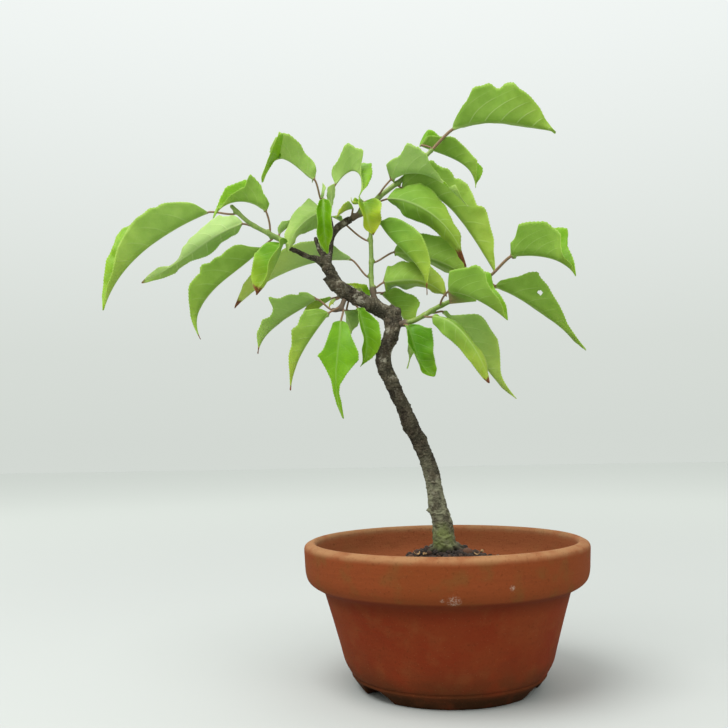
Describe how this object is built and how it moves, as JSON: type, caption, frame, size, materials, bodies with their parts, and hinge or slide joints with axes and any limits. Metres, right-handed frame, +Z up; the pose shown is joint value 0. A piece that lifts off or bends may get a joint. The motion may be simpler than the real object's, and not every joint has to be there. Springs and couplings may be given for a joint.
{
  "type": "japanese apricot bonsai",
  "caption": "Small ume tree with a curved bare trunk, arching green shoots and hanging folded leaves, in a round red clay pot with a thick band under its lip.",
  "frame": {"origin": "under the middle of the whole object's box, on the surface it stands on", "axes": "+Z up the tree, +Y away from the viewer of the picture, +X to the viewer's right"},
  "size_m": [0.2036, 0.12, 0.2648],
  "materials": {
    "clay": "unglazed, fine-grained, matt",
    "soil": "granular, matt",
    "screen": "matt",
    "bark": "rough grey-brown bark",
    "green_stem": "smooth green shoot, satin",
    "leaf_underside": "pale matt underside",
    "leaf_upperside": "satin upper side"
  },
  "bodies": {
    "root": {"pot": "clay", "drain_screen": "screen", "soil": "soil", "trunk": "bark", "left_shoot": "green_stem", "top_shoot": "green_stem", "middle_shoot": "green_stem", "right_shoot": "green_stem", "low_spur": "green_stem", "leaf_left_1": "leaf_underside", "leaf_left_2": "leaf_underside", "leaf_left_3": "leaf_underside", "leaf_left_4": "leaf_upperside", "leaf_left_5": "leaf_underside", "leaf_left_6": "leaf_underside", "leaf_crown_1": "leaf_underside", "leaf_crown_2": "leaf_underside", "leaf_crown_3": "leaf_upperside", "leaf_crown_4": "leaf_underside", "leaf_crown_5": "leaf_underside", "leaf_crown_6": "leaf_underside", "leaf_top_1": "leaf_underside", "leaf_top_2": "leaf_underside", "leaf_top_3": "leaf_upperside", "leaf_top_4": "leaf_underside", "leaf_top_5": "leaf_underside", "leaf_top_6": "leaf_underside", "leaf_top_7": "leaf_underside", "leaf_top_8": "leaf_underside", "leaf_top_9": "leaf_underside", "leaf_middle_1": "leaf_underside", "leaf_middle_2": "leaf_underside", "leaf_middle_3": "leaf_underside", "leaf_middle_4": "leaf_underside", "leaf_middle_5": "leaf_underside", "leaf_right_1": "leaf_upperside", "leaf_right_2": "leaf_underside", "leaf_right_3": "leaf_underside", "leaf_right_4": "leaf_underside", "leaf_right_5": "leaf_underside", "leaf_right_6": "leaf_underside", "leaf_right_7": "leaf_underside", "leaf_low_1": "leaf_underside", "leaf_low_2": "leaf_underside", "leaf_low_3": "leaf_upperside", "leaf_branch_1": "leaf_underside", "leaf_branch_2": "leaf_upperside", "leaf_branch_3": "leaf_underside", "leaf_branch_4": "leaf_underside", "leaf_branch_5": "leaf_underside"}
  },
  "joints": []
}
